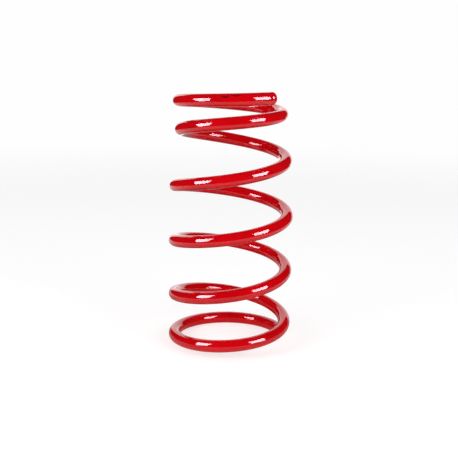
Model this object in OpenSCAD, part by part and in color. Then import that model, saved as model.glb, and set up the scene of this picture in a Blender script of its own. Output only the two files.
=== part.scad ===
// Coil spring for a car suspension: one round wire wound into a right-handed compression coil.
// The origin is on the coil axis, level with the lowest point of the wire. +Z is up.
// The wire is drawn as a lower end coil, quarter-turn stretches and an upper end coil, so that the
// stretches can move down one after another, as the real wire does when the spring is compressed.
// Azimuths are in degrees about +Z and keep counting up along the wire, from its lower tip.

/* [Wire] */
// Diameter of the coated wire
wire_d = 13; // [10:0.5:14]
// Azimuth of the lower tip of the wire
lower_tip = 20; // [0:1:60]
// Azimuth of the upper tip, on the sixth coil
upper_tip = 311.5; // [280:0.5:340]
// Gap between the cut faces of neighbouring stretches
face_gap = 0.3; // [0.2:0.05:0.6]

/* [Coils] */
// Mean diameter of the working coils and of the upper seat
coil_mean_d = 120; // [110:1:140]
// Mean diameter of the narrowest coil, just below the upper seat
neck_mean_d = 104; // [96:1:118]
// Turn at which the coils start to narrow
neck_start = 3.2; // [3:0.05:3.5]
// Turn at which they are narrowest
neck_turn = 5.06; // [4.8:0.01:5.2]
// Turn at which they are back to the full width
neck_end = 5.83; // [5.5:0.01:6]

/* [Pitch] */
// Rise per turn of the coil that leaves the lower seat
lower_pitch = 30.5; // [24:0.5:40]
// Rise per turn of the working coils
working_pitch = 59.5; // [50:0.5:65]
// Rise per turn of the coil below the upper seat
upper_pitch = 25.5; // [18:0.5:35]
// Rise per turn of the upper end coil
seat_pitch = 12.5; // [12.5:0.5:16]

/* [Hidden] */
// The quarter-turn stretches: their names by azimuth, their number, and where the first one starts
QUARTERS = ["back_left", "front_left", "front_right", "back_right"];
quarter_turns = 21;
quarter = 90;
first_cut = 90;
last_cut = first_cut + quarter * quarter_turns;
wire_end = 5 * 360 + upper_tip;
end_turn = turn_at(wire_end);

// The pitch changes over these spans, in turns from the lower tip
lift_off = [0.1, 0.7];
opening = [0.75, 1.05];
closing = [4.33, 4.85];
seating = [5.15, 5.78];

// Half the gap between two cut faces, as an angle about the coil axis
half_gap = asin(face_gap / coil_mean_d);
// How far a stretch is drawn past its cut before it is trimmed, and how far a trimming wedge
// reaches past a tip of the wire, in degrees
overrun = 4;
tip_margin = 30;

$fn = 48;

function turn_at(azimuth) = (azimuth - lower_tip) / 360;

// A step from 0 to 1 with level ends, and the area under it
function ease(u) = u <= 0 ? 0 : u >= 1 ? 1 : u * u * (3 - 2 * u);
function ease_area(u) = u <= 0 ? 0 : u >= 1 ? u - 0.5 : pow(u, 3) - pow(u, 4) / 2;

// Height gained by a pitch that grows from 0 to 1 over a span of turns
function gain(n, span) = (span[1] - span[0]) * ease_area((n - span[0]) / (span[1] - span[0]));

function rise(n) =
    lower_pitch * gain(n, lift_off)
    + (working_pitch - lower_pitch) * gain(n, opening)
    + (upper_pitch - working_pitch) * gain(n, closing)
    + (seat_pitch - upper_pitch) * gain(n, seating);

function narrowing(n) =
    ease((n - neck_start) / (neck_turn - neck_start))
    - ease((n - neck_turn) / (neck_end - neck_turn));

function coil_r(n) = (coil_mean_d - (coil_mean_d - neck_mean_d) * narrowing(n)) / 2;

// Centre of the wire at an azimuth
function wire_point(azimuth) =
    let (n = turn_at(azimuth), r = coil_r(n))
    [r * cos(azimuth), r * sin(azimuth), wire_d / 2 + rise(n)];

function unit(v) = v / norm(v);

// Centre of the circle through three points
function circle_centre(p, q, s) =
    let (u = q - p, v = s - p, w = cross(u, v))
    p + (norm(v) * norm(v) * cross(w, u) + norm(u) * norm(u) * cross(v, w)) / (2 * w * w);

// A round wire along the circle through the wire's centre at two azimuths and half way between
// them. It runs on past each end by that end's overrun, in degrees.
module wire_arc(from, to, overrun_from, overrun_to) {
    start = wire_point(from);
    middle = wire_point((from + to) / 2);
    finish = wire_point(to);
    centre = circle_centre(start, middle, finish);
    r = norm(start - centre);
    x_axis = unit(start - centre);
    z_axis = unit(cross(middle - start, finish - middle));
    y_axis = cross(z_axis, x_axis);
    sweep = 2 * asin(norm(finish - start) / (2 * r));
    multmatrix([
        [x_axis[0], y_axis[0], z_axis[0], centre[0]],
        [x_axis[1], y_axis[1], z_axis[1], centre[1]],
        [x_axis[2], y_axis[2], z_axis[2], centre[2]],
        [0, 0, 0, 1]
    ])
        rotate([0, 0, -overrun_from])
            rotate_extrude(angle = sweep + overrun_from + overrun_to, $fn = 144)
                translate([r, 0])
                    circle(d = wire_d);
}

// Everything between two upright planes through the coil axis
module wedge(from, to) {
    reach = 2 * coil_mean_d;
    translate([0, 0, -wire_d])
        linear_extrude(height = rise(end_turn) + 4 * wire_d)
            polygon(concat(
                [[0, 0]],
                [for (i = [0 : 4]) let (a = from + (to - from) * i / 4) reach * [cos(a), sin(a)]]
            ));
}

module lower_end_coil() {
    color("firebrick")
        intersection() {
            wire_arc(lower_tip, first_cut, 0, overrun);
            wedge(lower_tip - tip_margin, first_cut - half_gap);
        }
}

module coil_quarter(i) {
    from = first_cut + quarter * i;
    to = from + quarter;
    color(i % 2 == 0 ? "crimson" : "firebrick")
        intersection() {
            wire_arc(from, to, overrun, overrun);
            wedge(from + half_gap, to - half_gap);
        }
}

module upper_end_coil() {
    color("firebrick")
        intersection() {
            wire_arc(last_cut, wire_end, overrun, 0);
            wedge(last_cut + half_gap, wire_end + tip_margin);
        }
}

lower_end_coil();
for (i = [0 : quarter_turns - 1])
    coil_quarter(i);
upper_end_coil();
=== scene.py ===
"""A car's coil spring: one round steel wire, wound into a coil and coated in gloss red powder.

The wire is shown as closed tubes end to end, one for each CAD node and each standing for it. They
follow the same coil as the CAD, and their ends meet exactly. Each ring of vertices gets its own
share of the travel for when the spring is compressed, but nothing here moves it by that share.
Azimuths are in degrees about +Z and keep counting up along the wire, from its lower tip.
"""

import math

import bpy
import numpy as np
from mathutils import Matrix, Vector


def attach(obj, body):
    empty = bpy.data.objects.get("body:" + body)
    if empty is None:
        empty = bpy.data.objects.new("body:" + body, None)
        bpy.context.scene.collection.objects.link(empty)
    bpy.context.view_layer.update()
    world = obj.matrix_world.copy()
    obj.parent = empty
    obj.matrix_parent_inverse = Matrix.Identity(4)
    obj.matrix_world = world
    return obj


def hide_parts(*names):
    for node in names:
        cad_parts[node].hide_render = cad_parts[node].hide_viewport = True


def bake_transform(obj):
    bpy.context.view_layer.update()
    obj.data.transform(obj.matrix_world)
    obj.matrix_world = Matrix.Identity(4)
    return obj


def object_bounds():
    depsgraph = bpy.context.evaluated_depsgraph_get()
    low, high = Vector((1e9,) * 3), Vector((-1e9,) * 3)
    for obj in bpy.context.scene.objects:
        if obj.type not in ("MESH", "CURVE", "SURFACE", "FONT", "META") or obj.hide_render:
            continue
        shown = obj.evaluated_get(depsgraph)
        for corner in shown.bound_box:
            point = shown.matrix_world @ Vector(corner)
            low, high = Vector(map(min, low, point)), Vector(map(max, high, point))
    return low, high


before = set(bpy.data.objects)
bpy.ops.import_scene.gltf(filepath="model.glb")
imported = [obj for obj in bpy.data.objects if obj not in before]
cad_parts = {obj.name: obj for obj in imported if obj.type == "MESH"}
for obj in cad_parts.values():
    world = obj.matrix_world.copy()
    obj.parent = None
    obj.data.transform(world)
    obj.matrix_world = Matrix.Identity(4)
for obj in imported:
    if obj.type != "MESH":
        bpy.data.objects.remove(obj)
cad_low, cad_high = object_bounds()

# ---------------------------------------------------------------- the coil, as in the CAD
# Azimuths of the wire's two tips, and of the cuts between its stretches
TIP_LOW, TIP_HIGH = 20, 5 * 360 + 311.5
FIRST_CUT, QUARTER = 90, 90
QUARTER_TURNS = 21
LAST_CUT = FIRST_CUT + QUARTER * QUARTER_TURNS
SIDES_OF_A_TURN = ["back_left", "front_left", "front_right", "back_right"]

# Radii of the wire and the coils, and the turns between which the coils narrow
WIRE_R = 0.0065
COIL_R = round((cad_high.x - cad_low.x) / 2 - WIRE_R, 4)
NECK_R = 0.052
NECK_START, NECK_TURN, NECK_END = 3.2, 5.06, 5.83

# (change of pitch in metres per turn, first turn, last turn of the change)
PITCH_STEPS = [
    (0.0305, 0.10, 0.70),
    (0.0290, 0.75, 1.05),
    (-0.0340, 4.33, 4.85),
    (-0.0130, 5.15, 5.78),
]

# The pitch of coils pressed together, and the stretch of wire that moves when they are
CLOSED_PITCH = 0.0136
FIRST_FREE, LAST_FREE = 270, LAST_CUT

# Sides of the tube, and degrees between its rings. The ends of the wire are finer, over TIP_LENGTH.
SIDES, RING_STEP = 48, 1.25
TIP_SIDES, TIP_STEP = 120, 0.3
TIP_LENGTH = 0.018

# The rounding of a cut end's rim: its length and depth, the angles of its rings, and the rings on
# the flat face, as shares of its radius
RIM_LENGTH, RIM_DEPTH = 0.0019, 0.0009
RIM_ANGLES = [6, 14, 24, 36, 48, 60, 72, 82, 90]
FACE_RINGS = [0.8, 0.5, 0.2]

# Steps for slopes: in metres on the coat, and in degrees along the wire
SMALL = 0.00001
NUDGE = 0.01


def turn_at(azimuth):
    return (np.asarray(azimuth, float) - TIP_LOW) / 360


def ease(u):
    u = np.clip(u, 0, 1)
    return u * u * (3 - 2 * u)


def ease_area(u):
    inside = np.clip(u, 0, 1)
    return inside**3 - inside**4 / 2 + np.maximum(u - 1, 0)


def rise(azimuth):
    """Height of the wire's centre above where it starts."""
    n = turn_at(azimuth)
    return sum(
        step * (last - first) * ease_area((n - first) / (last - first))
        for step, first, last in PITCH_STEPS
    )


def coil_radius(azimuth):
    n = turn_at(azimuth)
    into_neck = ease((n - NECK_START) / (NECK_TURN - NECK_START))
    out_of_neck = ease((n - NECK_TURN) / (NECK_END - NECK_TURN))
    return COIL_R - (COIL_R - NECK_R) * (into_neck - out_of_neck)


def wire_centre(azimuth):
    a = np.radians(azimuth)
    r = coil_radius(azimuth)
    return np.stack([r * np.cos(a), r * np.sin(a), WIRE_R + rise(azimuth)], axis=-1)


def wire_frame(azimuth):
    """The wire's direction, and the outward and upward directions of its round section."""
    ahead = wire_centre(np.asarray(azimuth) + NUDGE)
    behind = wire_centre(np.asarray(azimuth) - NUDGE)
    along = ahead - behind
    along /= np.linalg.norm(along, axis=-1, keepdims=True)
    a = np.radians(azimuth)
    out = np.stack([np.cos(a), np.sin(a), np.zeros_like(a)], axis=-1)
    out -= np.sum(out * along, axis=-1, keepdims=True) * along
    out /= np.linalg.norm(out, axis=-1, keepdims=True)
    return along, out, np.cross(out, along)


# Azimuths along the wire, and the length of wire up to each of them
TRACK_STEP = 0.5
TRACK = np.arange(TIP_LOW, TIP_HIGH + TRACK_STEP / 5, TRACK_STEP)
STEPS = np.linalg.norm(np.diff(wire_centre(TRACK), axis=0), axis=1)
TRACK_LENGTH = np.concatenate([[0], np.cumsum(STEPS)])


def length_at(azimuth):
    """Length of wire from its lower tip."""
    return np.interp(azimuth, TRACK, TRACK_LENGTH)


def open_gap(azimuth):
    """How much of the rise closes up when the coils are pressed together."""
    return rise(azimuth) - CLOSED_PITCH * turn_at(azimuth)


def travel_share(azimuth):
    """The part of the compression that reaches this place on the wire."""
    start, end = open_gap(FIRST_FREE), open_gap(LAST_FREE)
    return np.clip((open_gap(azimuth) - start) / (end - start), 0, 1)


# ---------------------------------------------------------------- wire meshes
# The coat near a cut end, by distance from it: (height, distance, width) of a bead and of a dip, and
# behind them small craters and bumps
BEAD = (0.00002, 0.0020, 0.0010)
DIP = (-0.00017, 0.0054, 0.0016)
CRATERS = 110
random = np.random.default_rng(11)
CRATER_BACK = random.uniform(0.0065, 0.0125, CRATERS)
CRATER_TURN = random.uniform(-math.pi, math.pi, CRATERS)
CRATER_SIZE = random.uniform(0.0004, 0.0008, CRATERS)
CRATER_DEPTH = random.uniform(-0.00014, 0.00010, CRATERS)


def hill(distance, width):
    return np.exp(-((distance / width) ** 2))


def relief(back, turn):
    """How far the coat stands out near a cut end: a bead at the rim, a dip behind it, and craters."""
    height = sum(tall * hill(back - place, width) for tall, place, width in (BEAD, DIP))
    for place, angle, size, depth in zip(CRATER_BACK, CRATER_TURN, CRATER_SIZE, CRATER_DEPTH):
        across = WIRE_R * ((turn - angle + math.pi) % (2 * math.pi) - math.pi)
        height = height + depth * hill(np.hypot(back - place, across), size)
    return height


def ring_azimuths(start, end):
    """Where the rings of a stretch of wire go, and how far each is from a cut end of the wire."""
    fine = math.degrees(TIP_LENGTH / COIL_R)
    coarse = np.linspace(start, end, int(round((end - start) / RING_STEP)) + 1)
    if start == TIP_LOW:
        fine_ones = np.arange(start, start + fine, TIP_STEP)
        coarse = np.concatenate([fine_ones, coarse[coarse > start + fine]])
        back = length_at(coarse)
    elif end == TIP_HIGH:
        fine_ones = np.arange(end, end - fine, -TIP_STEP)[::-1]
        coarse = np.concatenate([coarse[coarse < end - fine], fine_ones])
        back = length_at(TIP_HIGH) - length_at(coarse)
    else:
        back = np.full(len(coarse), np.inf)
    return coarse, back


def rim(back):
    """Radius taken off near a cut end by the rim's rounding, and how far the normal turns to the end."""
    angle = np.arcsin(np.clip(1 - back / RIM_LENGTH, 0, 1))
    lean = np.arctan2(RIM_DEPTH * np.sin(angle), RIM_LENGTH * np.cos(angle))
    return RIM_DEPTH * (1 - np.cos(angle)), lean


def stack(rings, extra, towards):
    """Rings with more added at the end of the wire that is cut."""
    return np.concatenate([rings, extra] if towards > 0 else [extra[::-1], rings])


def rim_rings(azimuths, back, towards):
    """Rings set by the angle of the rim's rounding take the place of those within it."""
    round_back = RIM_LENGTH * (1 - np.sin(np.radians(RIM_ANGLES)))
    plain = back > round_back[0]
    tip = TIP_HIGH if towards > 0 else TIP_LOW
    round_azimuths = tip - towards * np.degrees(round_back / coil_radius(tip))
    return stack(azimuths[plain], round_azimuths, towards), stack(back[plain], round_back, towards)


def relief_and_slopes(back, turn):
    """The coat's relief on rings near a cut end, and its slopes along the wire and round it."""
    turns, backs = np.meshgrid(turn, back)
    around = SMALL / WIRE_R
    slope_along = (relief(backs + SMALL, turns) - relief(backs - SMALL, turns)) / (2 * SMALL)
    slope_round = (relief(backs, turns + around) - relief(backs, turns - around)) / (2 * SMALL)
    return relief(backs, turns), slope_along, slope_round


def add_cut_face(rings, centre, facing, towards):
    """Adds the rings on the flat of a cut end's face to the azimuths, points, normals and places."""
    azimuths, points, normals, places = rings
    last = -1 if towards > 0 else 0
    inward = np.array(FACE_RINGS)[:, None, None]
    flat = centre + inward * (points[last] - centre)
    flat_places = places[last] * np.concatenate([inward**0, inward, inward], axis=-1)
    return (
        stack(azimuths, np.full(len(FACE_RINGS), azimuths[last]), towards),
        stack(points, flat, towards),
        stack(normals, np.broadcast_to(facing, flat.shape), towards),
        stack(places, flat_places, towards),
    )


def tube_mesh(name, points, normals, places, first_facing, last_facing):
    """Rings of points as a tube with a flat face at each end, with its own normals."""
    ring_count, sides = points.shape[:2]
    faces = []
    for i in range(ring_count - 1):
        for j in range(sides):
            k = (j + 1) % sides
            faces.append((i * sides + j, (i + 1) * sides + j, (i + 1) * sides + k, i * sides + k))
    wall_faces = len(faces)
    faces.append(tuple(range(sides)))
    faces.append(tuple((ring_count - 1) * sides + j for j in reversed(range(sides))))
    mesh = bpy.data.meshes.new(name)
    mesh.from_pydata(points.reshape(-1, 3).tolist(), [], faces)
    mesh.polygons.foreach_set("use_smooth", [True] * wall_faces + [False] * 2)
    place = mesh.attributes.new("wire_place", "FLOAT_VECTOR", "POINT")
    place.data.foreach_set("vector", places.astype(np.float32).ravel())
    mesh.update()
    corner_vertices = np.empty(len(mesh.loops), int)
    mesh.loops.foreach_get("vertex_index", corner_vertices)
    corner_normals = normals.reshape(-1, 3)[corner_vertices]
    corner_normals[-2 * sides:-sides] = first_facing
    corner_normals[-sides:] = last_facing
    mesh.normals_split_custom_set(corner_normals.tolist())
    return mesh


def build(name, start, end):
    """The stretch of wire between two azimuths, and each vertex's share of the travel.

    A vertex's place on the wire, which the coat's textures use, is its length from the lower tip
    and its distance from the wire's centre, outward and upward.
    """
    azimuths, back = ring_azimuths(start, end)
    at_tip = bool(np.isfinite(back[0]))
    towards = -1 if start == TIP_LOW else 1
    sides = TIP_SIDES if at_tip else SIDES
    turn = 2 * np.pi * np.arange(sides) / sides
    stand = slope_along = slope_round = np.zeros((len(back), sides))
    if at_tip:
        azimuths, back = rim_rings(azimuths, back, towards)
        stand, slope_along, slope_round = relief_and_slopes(back, turn)
    cut, lean = rim(back)

    along, out, up = wire_frame(azimuths)
    cos, sin = np.cos(turn)[None, :, None], np.sin(turn)[None, :, None]
    radial = cos * out[:, None, :] + sin * up[:, None, :]
    sideways = cos * up[:, None, :] - sin * out[:, None, :]
    radii = WIRE_R - cut[:, None] + stand
    centres = wire_centre(azimuths)[:, None, :]
    points = centres + radii[..., None] * radial
    to_end = towards * along[:, None, :]
    normals = (
        np.cos(lean)[:, None, None] * radial
        + (np.sin(lean)[:, None] + slope_along)[..., None] * to_end
        - slope_round[..., None] * sideways
    )
    normals /= np.linalg.norm(normals, axis=-1, keepdims=True)
    lengths = np.repeat(length_at(azimuths)[:, None], sides, axis=1)
    places = np.stack([lengths, radii * np.cos(turn), radii * np.sin(turn)], axis=-1)
    rings = (azimuths, points, normals, places)
    if at_tip:
        last = -1 if towards > 0 else 0
        rings = add_cut_face(rings, centres[last], to_end[last], towards)
    azimuths = rings[0]
    mesh = tube_mesh(name, *rings[1:], -along[0], along[-1])
    piece = bpy.data.objects.new(name, mesh)
    bpy.context.scene.collection.objects.link(piece)
    return piece, np.repeat(travel_share(azimuths), sides)


# ---------------------------------------------------------------- materials
class Tree:
    """Adds nodes to a material, and links them."""

    def __init__(self, name):
        self.mat = bpy.data.materials.new(name)
        self.mat.use_nodes = True
        self.nodes = self.mat.node_tree.nodes
        self.shader = self.nodes["Principled BSDF"]
        self.output = self.nodes["Material Output"]

    def set(self, node, socket, value):
        """Sets an input of a node to a value, or links an output to it."""
        if isinstance(value, bpy.types.NodeSocket):
            self.mat.node_tree.links.new(value, node.inputs[socket])
        elif value is not None:
            node.inputs[socket].default_value = value

    def math(self, operation, a, b=None, c=None):
        node = self.nodes.new("ShaderNodeMath")
        node.operation = operation
        for i, value in enumerate((a, b, c)):
            self.set(node, i, value)
        return node.outputs[0]

    def ramp(self, value, low, high, to_low=0.0, to_high=1.0):
        """A value that eases from one number to another while the input runs from low to high."""
        node = self.nodes.new("ShaderNodeMapRange")
        node.interpolation_type = "SMOOTHSTEP"
        for i, v in enumerate((value, low, high, to_low, to_high)):
            self.set(node, i, v)
        return node.outputs[0]

    def noise(self, vector, scale, detail, roughness):
        node = self.nodes.new("ShaderNodeTexNoise")
        self.set(node, "Vector", vector)
        self.set(node, "Scale", scale)
        self.set(node, "Detail", detail)
        self.set(node, "Roughness", roughness)
        return node.outputs["Fac"]

    def mix(self, share, a, b):
        node = self.nodes.new("ShaderNodeMix")
        node.data_type = "RGBA"
        self.set(node, 0, share)
        self.set(node, 6, a)
        self.set(node, 7, b)
        return node.outputs[2]


# Ink dabs: (azimuth, half length in metres, height round the section in radians), with their half
# width and bow in radians, and where their edge fades, as a squared share of their size
INK_DABS = [(2063.8, 0.0042, 0.50), (2073.2, 0.0050, 0.70)]
INK_HALF_WIDTH, INK_BOW, INK_STRENGTH = 0.17, 0.22, 0.75
INK_EDGE = (0.55, 1.15)
INK = (0.020, 0.004, 0.003, 1)

THIN_RED, THICK_RED = (0.55, 0.0004, 0.0032, 1), (0.66, 0.0008, 0.0045, 1)
COAT_IOR = 1.5
ROUGHNESS = (0.02, 0.045)
NIB_CELLS, NIB_RARITY, NIB_RADIUS = 230.0, 0.985, 0.16

# Heights of the coat's relief, as shares of BUMP_METRES
BUMP_METRES = 0.001
PEEL_HEIGHT, WAVE_HEIGHT, NIB_HEIGHT = 0.003, 0.003, 0.03


def red_powder_coat():
    """Gloss powder coat: orange peel, a few dust nibs and craters, thinner and darker in places."""
    tree = Tree("gloss_red_powder_coat")
    place_node = tree.nodes.new("ShaderNodeAttribute")
    place_node.attribute_name = "wire_place"
    place = place_node.outputs["Vector"]

    # Colour: the film is a little darker where it is thin, in long soft patches
    patches = tree.noise(place, scale=34.0, detail=3.0, roughness=0.55)
    fine = tree.noise(place, scale=420.0, detail=2.0, roughness=0.6)
    depth = tree.math("MULTIPLY_ADD", fine, 0.25, tree.math("MULTIPLY", patches, 0.75))
    red = tree.mix(tree.ramp(depth, 0.3, 0.7), THIN_RED, THICK_RED)

    # Two dabs of dark ink on the upper end coil
    separate_place = tree.nodes.new("ShaderNodeSeparateXYZ")
    tree.set(separate_place, 0, place)
    angle = tree.math("ARCTAN2", separate_place.outputs[2], separate_place.outputs[1])
    edge = tree.noise(place, scale=1500.0, detail=3.0, roughness=0.7)
    ragged = tree.math("MULTIPLY_ADD", edge, 0.5, -0.25)
    ink = None
    for azimuth, half_length, height in INK_DABS:
        along = tree.math("SUBTRACT", separate_place.outputs[0], float(length_at(azimuth)))
        along = tree.math("DIVIDE", along, half_length)
        squared = tree.math("MULTIPLY", along, along)
        bow = tree.math("MULTIPLY_ADD", squared, INK_BOW, height)
        across = tree.math("DIVIDE", tree.math("SUBTRACT", angle, bow), INK_HALF_WIDTH)
        distance = tree.math("MULTIPLY_ADD", across, across, squared)
        dab = tree.ramp(tree.math("ADD", distance, ragged), *INK_EDGE, INK_STRENGTH, 0.0)
        ink = dab if ink is None else tree.math("MAXIMUM", ink, dab)
    red = tree.mix(ink, red, INK)

    # Nibs of dust under the coat
    cells = tree.nodes.new("ShaderNodeTexVoronoi")
    tree.set(cells, "Vector", place)
    tree.set(cells, "Scale", NIB_CELLS)
    tree.set(cells, "Randomness", 1.0)
    separate = tree.nodes.new("ShaderNodeSeparateColor")
    tree.set(separate, 0, cells.outputs["Color"])
    chosen = tree.math("GREATER_THAN", separate.outputs[0], NIB_RARITY)
    nib = tree.math("MULTIPLY", chosen, tree.ramp(cells.outputs["Distance"], NIB_RADIUS, 0.0))

    # Gloss, a little uneven
    smears = tree.noise(place, scale=90.0, detail=3.0, roughness=0.6)
    tree.set(tree.shader, "Roughness", tree.ramp(smears, 0.25, 0.75, *ROUGHNESS))
    tree.set(tree.shader, "Base Color", red)
    tree.set(tree.shader, "IOR", COAT_IOR)

    # Orange peel and nibs as bump
    peel = tree.noise(place, scale=480.0, detail=2.0, roughness=0.5)
    wave = tree.noise(place, scale=120.0, detail=1.0, roughness=0.5)
    height = tree.math("MULTIPLY_ADD", peel, PEEL_HEIGHT, tree.math("MULTIPLY", wave, WAVE_HEIGHT))
    height = tree.math("MULTIPLY_ADD", nib, NIB_HEIGHT, height)
    bump = tree.nodes.new("ShaderNodeBump")
    tree.set(bump, "Strength", 1.0)
    tree.set(bump, "Distance", BUMP_METRES)
    tree.set(bump, "Height", height)
    tree.set(tree.shader, "Normal", bump.outputs[0])
    return tree.mat


# ---------------------------------------------------------------- the spring
def spring():
    coat = red_powder_coat()
    cuts = [TIP_LOW] + list(range(FIRST_CUT, LAST_CUT + 1, QUARTER)) + [TIP_HIGH]
    names = ["lower_end_coil"]
    for i in range(QUARTER_TURNS):
        names.append(f"coil_{1 + i // 4}_{SIDES_OF_A_TURN[i % 4]}")
    names.append("upper_end_coil")
    for node, start, end in zip(names, cuts[:-1], cuts[1:]):
        piece, shares = build("wire_" + node, start, end)
        piece.data.materials.append(coat)
        if end <= FIRST_FREE:
            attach(piece, "seated_coil")
        elif start >= LAST_FREE:
            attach(piece, "upper_end_coil")
        else:
            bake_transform(piece)
        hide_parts(node)


# ---------------------------------------------------------------- studio
# A pale floor that fades into the backdrop. What the spring's gloss sees of it is a table with a soft
# front edge, with painted shade in a strip behind the spring and a painted glow that brightens it away from
# it.
FLOOR_HALF = 2.4
FLOOR_FADE = (0.7, 2.2)
FLOOR_GREYS = (0.48, 0.48, 0.48, 1), (0.52, 0.52, 0.52, 1)
FLOOR_GLOW, CAMERA_GLOW, DIFFUSE_GLOW, PAINTED_GLOSS_GLOW = 0.20, 0.46, 0.26, 0.40
TABLE_HALF_WIDTH, TABLE_EDGE = 0.55, 0.03
TABLE_FRONT, TABLE_BACK = (-0.34, -0.60), 0.90
# Painted reflection: the floor as gloss sees it glows more away from the spring, which leaves painted shade
# close to it
PAINTED_GLOW_FROM = (0.10, 0.30)
# Painted shade: a strip behind the spring where gloss sees through the paper to the dark room
PAINTED_SHADE_FROM, PAINTED_SHADE_HALF_WIDTH, PAINTED_SHADE_DARKNESS = (-0.04, 0.08), (0.12, 0.30), 0.55

# A leaning card at the back of the table, by its corners' x and z. It is brighter at its upper left.
BACK_CARD = [(-0.37, 0), (0.80, 0), (0.12, 1.0), (-0.72, 1.0)]
CARD_GLOW, CORNER_GLOW = 1.4, 1.2
CARD_LEFT, CARD_TOP = (-0.30, -0.55), (0.35, 0.65)

SOFTBOX_RADIANCE, FILL_RADIANCE = 19.0, 5.4
DAYLIGHT, WHITE = (0.97, 0.98, 1.10), (1, 1, 1)

# The backdrop as the camera sees it, the light all round, and what gloss sees of the dark room
BACKDROP, AMBIENT, DARK_ROOM = 0.97, 0.40, 0.02


def sheet(name, corners):
    """A stage sheet through four corners."""
    mesh = bpy.data.meshes.new(name)
    mesh.from_pydata(corners, [], [(0, 1, 2, 3)])
    made = bpy.data.objects.new(name, mesh)
    bpy.context.scene.collection.objects.link(made)
    return made


def floor_paper():
    """Pale paper that fades into the pale backdrop. The spring's gloss only sees the table's part of it."""
    tree = Tree("floor_paper")
    links = tree.mat.node_tree.links
    path = tree.nodes.new("ShaderNodeLightPath").outputs
    here = tree.nodes.new("ShaderNodeNewGeometry").outputs["Position"]
    split = tree.nodes.new("ShaderNodeSeparateXYZ")
    tree.set(split, 0, here)
    width, y = tree.math("ABSOLUTE", split.outputs[0]), split.outputs[1]
    distance = tree.nodes.new("ShaderNodeVectorMath")
    distance.operation = "LENGTH"
    tree.set(distance, 0, here)

    # Where the paper is clear: far away, and for gloss also off the table and in the strip of painted shade
    # behind the spring
    beside = tree.ramp(width, TABLE_HALF_WIDTH, TABLE_HALF_WIDTH + TABLE_EDGE)
    off_table = tree.math("MAXIMUM", beside, tree.ramp(y, *TABLE_FRONT))
    # Painted shade: gloss sees through the paper in a strip behind the spring, so the wire reflects shade
    # there
    behind = tree.ramp(y, *PAINTED_SHADE_FROM, 0.0, PAINTED_SHADE_DARKNESS)
    painted_shade_strip = tree.math("MULTIPLY", behind, tree.ramp(width, *PAINTED_SHADE_HALF_WIDTH, 1.0, 0.0))
    unseen = tree.math("MULTIPLY", path["Is Glossy Ray"], tree.math("MAXIMUM", off_table, painted_shade_strip))
    gone = tree.math("MAXIMUM", tree.ramp(distance.outputs["Value"], *FLOOR_FADE), unseen)

    grain = tree.noise(here, scale=900.0, detail=3.0, roughness=0.6)
    tree.set(tree.shader, "Base Color", tree.mix(grain, *FLOOR_GREYS))
    tree.set(tree.shader, "Roughness", 0.8)
    tree.set(tree.shader, "Specular IOR Level", 0.0)
    # Painted reflection: for gloss the paper glows more away from the spring, so it reads as shaded close
    # to the spring
    painted_reflection_glow = tree.ramp(distance.outputs["Value"], *PAINTED_GLOW_FROM, 0.0, PAINTED_GLOSS_GLOW)
    glow = tree.math("MULTIPLY_ADD", path["Is Camera Ray"], CAMERA_GLOW, FLOOR_GLOW)
    glow = tree.math("ADD", glow, tree.math("MULTIPLY", path["Is Glossy Ray"], painted_reflection_glow))
    glow = tree.math("MULTIPLY_ADD", path["Is Diffuse Ray"], DIFFUSE_GLOW, glow)
    tree.set(tree.shader, "Emission Color", (1, 1, 1, 1))
    tree.set(tree.shader, "Emission Strength", glow)

    clear = tree.nodes.new("ShaderNodeBsdfTransparent")
    mixed = tree.nodes.new("ShaderNodeMixShader")
    tree.set(mixed, 0, gone)
    links.new(tree.shader.outputs[0], mixed.inputs[1])
    links.new(clear.outputs[0], mixed.inputs[2])
    links.new(mixed.outputs[0], tree.output.inputs["Surface"])
    return tree.mat


def back_card_paper():
    """A glowing card, brighter towards its upper left corner."""
    tree = Tree("back_card_paper")
    split = tree.nodes.new("ShaderNodeSeparateXYZ")
    tree.set(split, 0, tree.nodes.new("ShaderNodeNewGeometry").outputs["Position"])
    to_left = tree.ramp(split.outputs[0], *CARD_LEFT)
    to_top = tree.ramp(split.outputs[2], *CARD_TOP)
    corner = tree.math("MULTIPLY", to_left, to_top)
    tree.set(tree.shader, "Base Color", (0, 0, 0, 1))
    tree.set(tree.shader, "Specular IOR Level", 0.0)
    tree.set(tree.shader, "Emission Color", (1, 1, 1, 1))
    tree.set(tree.shader, "Emission Strength", tree.math("MULTIPLY_ADD", corner, CORNER_GLOW, CARD_GLOW))
    return tree.mat


def only_in_gloss(made):
    made.visible_camera = False
    made.visible_diffuse = False
    made.visible_shadow = False


def lamp(name, kind, radiance, azimuth, distance, height, width, tall, tilt, yaw=0.0, roll=0.0):
    """A rectangular softbox. Azimuth 0 is the camera's side, and yaw 0 faces the spring's axis.

    A sheen lamp only shows in the spring's gloss, and a fill lamp only lights what is matt.
    """
    data = bpy.data.lights.new(name, "AREA")
    data.shape = "RECTANGLE"
    data.size, data.size_y = width, tall
    data.energy = radiance * math.pi * width * tall
    data.color = DAYLIGHT if kind == "sheen" else WHITE
    made = bpy.data.objects.new(name, data)
    bpy.context.scene.collection.objects.link(made)
    a = math.radians(azimuth)
    place = Vector((distance * math.sin(a), -distance * math.cos(a), height))
    facing = math.radians(azimuth + yaw)
    side = Vector((math.cos(facing), math.sin(facing), 0))
    down = math.radians(tilt)
    ahead = Vector((-side.y * math.cos(down), side.x * math.cos(down), -math.sin(down)))
    up = side.cross(ahead)
    turn = Matrix((side, up, -ahead)).transposed() @ Matrix.Rotation(math.radians(roll), 3, "Z")
    made.matrix_world = Matrix.Translation(place) @ turn.to_4x4()
    made.visible_camera = False
    made.visible_glossy = kind != "fill"
    made.visible_diffuse = kind != "sheen"


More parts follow.
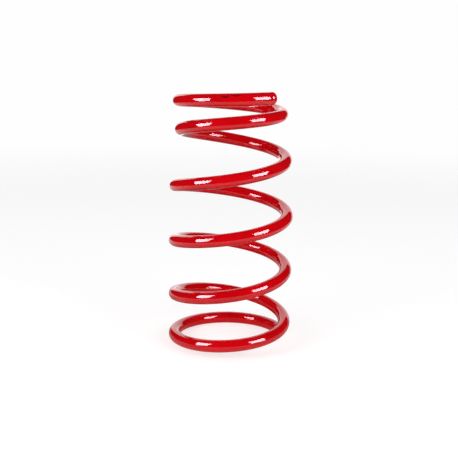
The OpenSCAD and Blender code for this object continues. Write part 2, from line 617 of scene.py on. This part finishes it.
def lamps():
    lamp(
        "softbox_left", "sheen", SOFTBOX_RADIANCE, azimuth=-54.4, distance=0.457, height=0.300,
        width=0.234, tall=0.335, tilt=31.0, yaw=-27.8, roll=27.5,
    )
    lamp(
        "softbox_right", "sheen", SOFTBOX_RADIANCE, azimuth=52.1, distance=0.727, height=0.410,
        width=0.395, tall=0.486, tilt=28.8, yaw=3.8, roll=-2.7,
    )
    for name, azimuth in (("fill_left", -50), ("fill_right", 46)):
        lamp(
            name, "fill", FILL_RADIANCE, azimuth=azimuth, distance=1.30, height=0.75,
            width=0.70, tall=0.70, tilt=25.2,
        )


def backdrop():
    """A white world for the camera, dim for matt surfaces and nearly dark for gloss."""
    world = bpy.data.worlds.new("studio")
    world.use_nodes = True
    nodes, links = world.node_tree.nodes, world.node_tree.links
    background = nodes["Background"]
    background.inputs["Color"].default_value = (1, 1, 1, 1)
    path = nodes.new("ShaderNodeLightPath").outputs
    strength = None
    for ray, amount in (("Is Diffuse Ray", AMBIENT), ("Is Camera Ray", BACKDROP)):
        node = nodes.new("ShaderNodeMath")
        node.operation = "MULTIPLY_ADD"
        links.new(path[ray], node.inputs[0])
        node.inputs[1].default_value = amount
        node.inputs[2].default_value = DARK_ROOM
        if strength is not None:
            links.new(strength, node.inputs[2])
        strength = node.outputs[0]
    links.new(strength, background.inputs["Strength"])
    world.cycles.sampling_method = "NONE"
    bpy.context.scene.world = world


def studio():
    half = FLOOR_HALF
    floor = sheet("floor", [(-half, -half, 0), (half, -half, 0), (half, half, 0), (-half, half, 0)])
    floor.data.materials.append(floor_paper())

    card = sheet("back_card", [(x, TABLE_BACK, z) for x, z in BACK_CARD])
    card.data.materials.append(back_card_paper())
    only_in_gloss(card)

    lamps()
    backdrop()


# ---------------------------------------------------------------- camera and picture
CAMERA_PLACE = Vector((0.0003, -0.825, 0.3037))
CAMERA_PITCH, CAMERA_YAW, CAMERA_ROLL = 12.146, -0.142, 0.897
SENSOR_WIDTH, FOCAL_LENGTH = 36, 61.54

# Brightest that a ray of direct light may be. It keeps the grain at the highlights' edges down.
BRIGHTEST_RAY = 5.0


def look(position, pitch, yaw, roll):
    """Rotation of a camera that looks along +Y, then is turned by these angles in degrees."""
    p, y, r = math.radians(pitch), math.radians(yaw), math.radians(roll)
    ahead = Vector((math.sin(y) * math.cos(p), math.cos(y) * math.cos(p), -math.sin(p)))
    right = ahead.cross(Vector((0, 0, 1))).normalized()
    up = right.cross(ahead)
    right_rolled = math.cos(r) * right + math.sin(r) * up
    up_rolled = math.cos(r) * up - math.sin(r) * right
    turn = Matrix((right_rolled, up_rolled, -ahead)).transposed()
    return Matrix.Translation(position) @ turn.to_4x4()


def camera():
    data = bpy.data.cameras.new("camera")
    data.sensor_width, data.lens = SENSOR_WIDTH, FOCAL_LENGTH
    data.clip_start = 0.02
    shot = bpy.data.objects.new("camera", data)
    bpy.context.scene.collection.objects.link(shot)
    shot.matrix_world = look(CAMERA_PLACE, CAMERA_PITCH, CAMERA_YAW, CAMERA_ROLL)
    bpy.context.scene.camera = shot


spring()
studio()
camera()
bpy.context.scene.view_settings.view_transform = "Standard"
bpy.context.scene.cycles.sample_clamp_direct = BRIGHTEST_RAY
